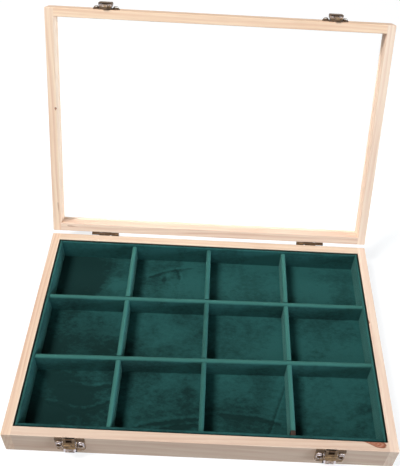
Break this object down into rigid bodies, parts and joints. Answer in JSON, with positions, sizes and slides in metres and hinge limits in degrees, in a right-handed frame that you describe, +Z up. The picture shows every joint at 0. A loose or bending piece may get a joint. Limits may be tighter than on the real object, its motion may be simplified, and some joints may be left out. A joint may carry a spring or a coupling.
{
  "type": "jewelry display cabinet",
  "caption": "Shallow wooden display case with a glazed lid on stop hinges, front spring latches and velvet covered compartments.",
  "frame": {"origin": "middle of the underside of the base, which rests on a table", "axes": "+X to the right, +Y to the back where the hinges are, +Z up; the lid is stored open, leaning back"},
  "size_m": [0.35, 0.3626, 0.2566],
  "materials": {
    "pine": "bare pale pine, sanded",
    "panel_board": "plain board",
    "velvet": "dark green velvet over card",
    "window": "clear, 2 mm",
    "antique_brass": "antiqued, worn bright on the edges",
    "screw_metal": "nickel plated",
    "spring_steel": "bare"
  },
  "bodies": {
    "base": {"base_left_wall": "pine", "base_right_wall": "pine", "base_front_wall": "pine", "base_back_wall": "pine", "base_bottom_panel": "panel_board", "floor_pad": "velvet", "liner_left": "velvet", "liner_right": "velvet", "liner_front": "velvet", "liner_back": "velvet", "long_divider_front": "velvet", "long_divider_rear": "velvet", "cross_divider_left": "velvet", "cross_divider_centre": "velvet", "cross_divider_right": "velvet", "hinge_leaf_base_left": "antique_brass", "hinge_leaf_base_right": "antique_brass", "hinge_pin_left": "antique_brass", "hinge_pin_right": "antique_brass", "latch_plate_left": "antique_brass", "latch_plate_right": "antique_brass", "latch_pin_left": "antique_brass", "latch_pin_right": "antique_brass", "hinge_screws_base": "screw_metal", "latch_screws": "screw_metal"},
    "lid": {"lid_left_rail": "pine", "lid_right_rail": "pine", "lid_front_rail": "pine", "lid_back_rail": "pine", "lid_window": "window", "hinge_leaf_lid_left": "antique_brass", "hinge_leaf_lid_right": "antique_brass", "hinge_screws_lid": "screw_metal", "catch_plate_left": "antique_brass", "catch_plate_right": "antique_brass", "catch_screws": "screw_metal"},
    "left_lever": {"latch_lever_left": "antique_brass", "latch_spring_left": "spring_steel"},
    "right_lever": {"latch_lever_right": "antique_brass", "latch_spring_right": "spring_steel"}
  },
  "joints": [
    {"name": "lid_hinge", "type": "hinge", "parent": "base", "child": "lid", "pos_m": [0, 0.12195, 0.02885], "axis": [1, 0, 0], "range_deg": [0, 113.5]},
    {"name": "left_latch_press", "type": "hinge", "parent": "base", "child": "left_lever", "pos_m": [-0.115, -0.1221, 0.0189], "axis": [-1, 0, 0], "range_deg": [0, 8.5], "stiffness_Nm_per_rad": 0.01, "springref_deg": -8.59},
    {"name": "right_latch_press", "type": "hinge", "parent": "base", "child": "right_lever", "pos_m": [0.115, -0.1221, 0.0189], "axis": [-1, 0, 0], "range_deg": [0, 8.5], "stiffness_Nm_per_rad": 0.01, "springref_deg": -8.59}
  ]
}
